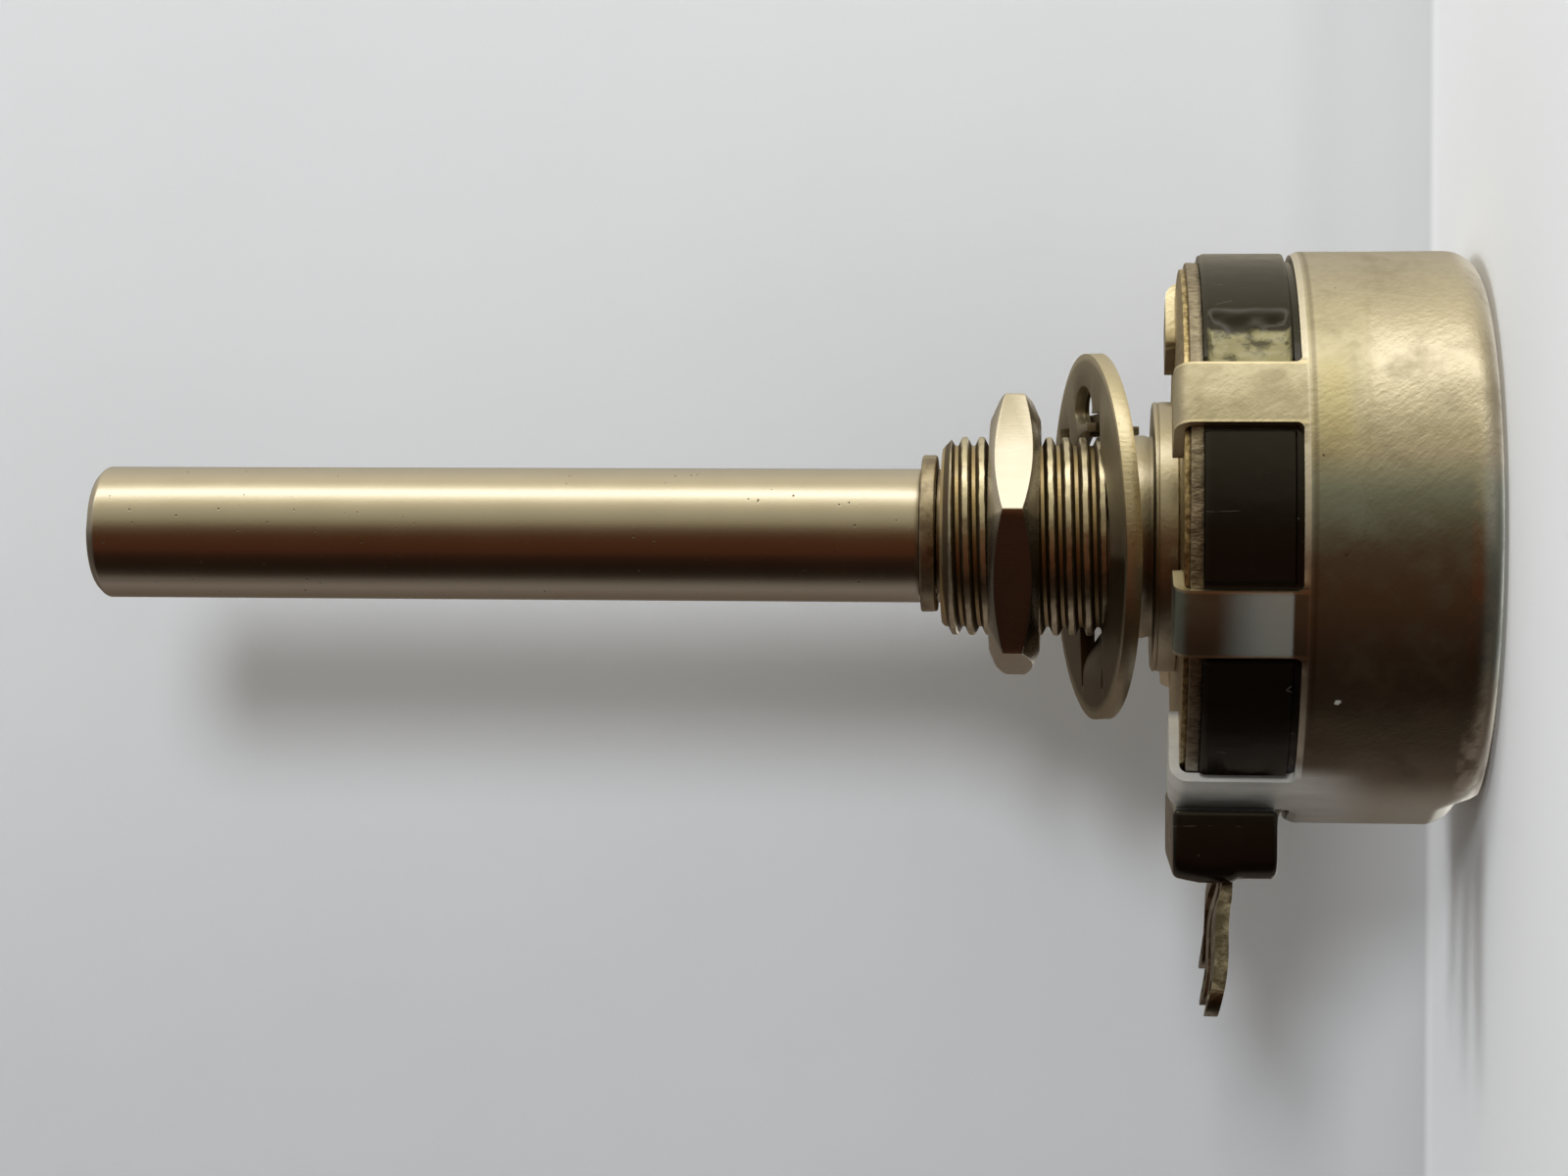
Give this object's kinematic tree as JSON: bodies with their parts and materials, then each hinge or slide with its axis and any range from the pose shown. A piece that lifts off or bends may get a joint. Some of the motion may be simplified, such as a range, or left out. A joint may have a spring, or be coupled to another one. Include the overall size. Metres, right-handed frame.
{
  "type": "rotary potentiometer",
  "caption": "Panel-mount rotary potentiometer: long plain shaft, threaded bush with nut and locating washer, folded-tab metal can on a moulded base, three solder lugs.",
  "frame": {"origin": "on the shaft axis at the front face of the bush flange, the shoulder that meets a panel", "axes": "+Z along the shaft to its free end, solder lugs towards -Y, +X to the side; it stands on the flat back of its can"},
  "size_m": [0.0268, 0.0355, 0.0657],
  "materials": {
    "can_steel": "tinned sheet steel, brushed along its length, stained with old lacquer",
    "bakelite": "glossy black moulded phenolic",
    "plate_steel": "dull plated steel with sheared edges",
    "plate_brass": "thin tarnished sheet brass",
    "bush_brass": "turned brass, nickel plated, warm grey",
    "washer_steel": "pressed steel, dull nickel plate",
    "nut_brass": "nickel plated, turned faces and drawn flats",
    "phenolic_board": "brown paper phenolic",
    "carbon": "dull carbon film",
    "silvered_brass": "silvered brass",
    "tinned_lug": "tinned brass, dull with old solder",
    "rivet_brass": "turned brass",
    "shaft_steel": "fine turned steel, lightly pitted",
    "clip_steel": "dark spring steel",
    "phenolic_moulding": "brown phenolic moulding",
    "spring_brass": "phosphor bronze strip"
  },
  "bodies": {
    "housing": {"cover": "can_steel", "base": "bakelite", "front_plate": "plate_steel", "earth_plate": "plate_brass", "bush": "bush_brass", "locating_washer": "washer_steel", "hex_nut": "nut_brass", "track_board": "phenolic_board", "carbon_track": "carbon", "collector_ring": "silvered_brass", "terminal_1": "tinned_lug", "terminal_2": "tinned_lug", "terminal_3": "tinned_lug", "terminal_rivets": "rivet_brass"},
    "rotor": {"shaft": "shaft_steel", "retaining_clip": "clip_steel", "thrust_washer": "rivet_brass", "rotor_carrier": "phenolic_moulding", "wiper_spring": "spring_brass", "contact_brush": "carbon", "collector_contact": "silvered_brass", "wiper_rivets": "rivet_brass", "stop_arm": "plate_steel"}
  },
  "joints": [
    {"name": "shaft_turn", "type": "hinge", "parent": "housing", "child": "rotor", "pos_m": [0, 0, 0], "axis": [0, 0, 1], "range_deg": [-145, 145]}
  ]
}
